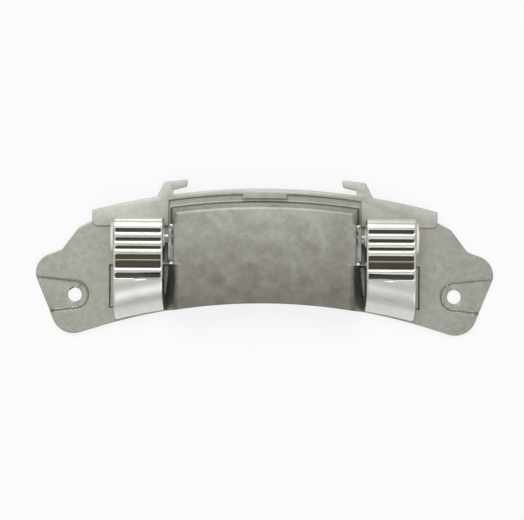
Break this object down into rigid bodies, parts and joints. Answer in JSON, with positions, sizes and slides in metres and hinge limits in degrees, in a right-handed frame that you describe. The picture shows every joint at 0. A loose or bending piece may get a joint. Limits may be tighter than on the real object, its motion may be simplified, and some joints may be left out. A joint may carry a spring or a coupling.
{
  "type": "appliance door hinge",
  "caption": "Curved pressed-steel hinge for a round appliance door: raised centre panel, screw lobes, hooks and plated arms that swing on a shaft.",
  "frame": {"origin": "midway between the two screw holes, on the back of the screw pads", "axes": "+X along the hinge, from the left lobe to the right one; +Y across it, towards the hooks; +Z out of the mounting plane, towards the door"},
  "size_m": [0.194, 0.0654, 0.0186],
  "materials": {
    "base_sheet": "dull galvanised sheet",
    "hook_sheet": "galvanised sheet",
    "shaft_steel": "ground steel bar",
    "arm_nickel": "satin nickel plate",
    "bush_nylon": "natural nylon"
  },
  "bodies": {
    "plate": {"base_plate": "base_sheet", "hook_plate": "hook_sheet", "hinge_shaft": "shaft_steel"},
    "left_door_arm": {"left_arm": "arm_nickel", "left_bush": "bush_nylon"},
    "right_door_arm": {"right_arm": "arm_nickel", "right_bush": "bush_nylon"}
  },
  "joints": [
    {"name": "left_arm_hinge", "type": "hinge", "parent": "plate", "child": "left_door_arm", "pos_m": [-0.05275, 0.0245, 0.0123], "axis": [-1, 0, 0], "range_deg": [0, 165]},
    {"name": "right_arm_hinge", "type": "hinge", "parent": "plate", "child": "right_door_arm", "pos_m": [0.05275, 0.0245, 0.0123], "axis": [-1, 0, 0], "range_deg": [0, 165]}
  ]
}
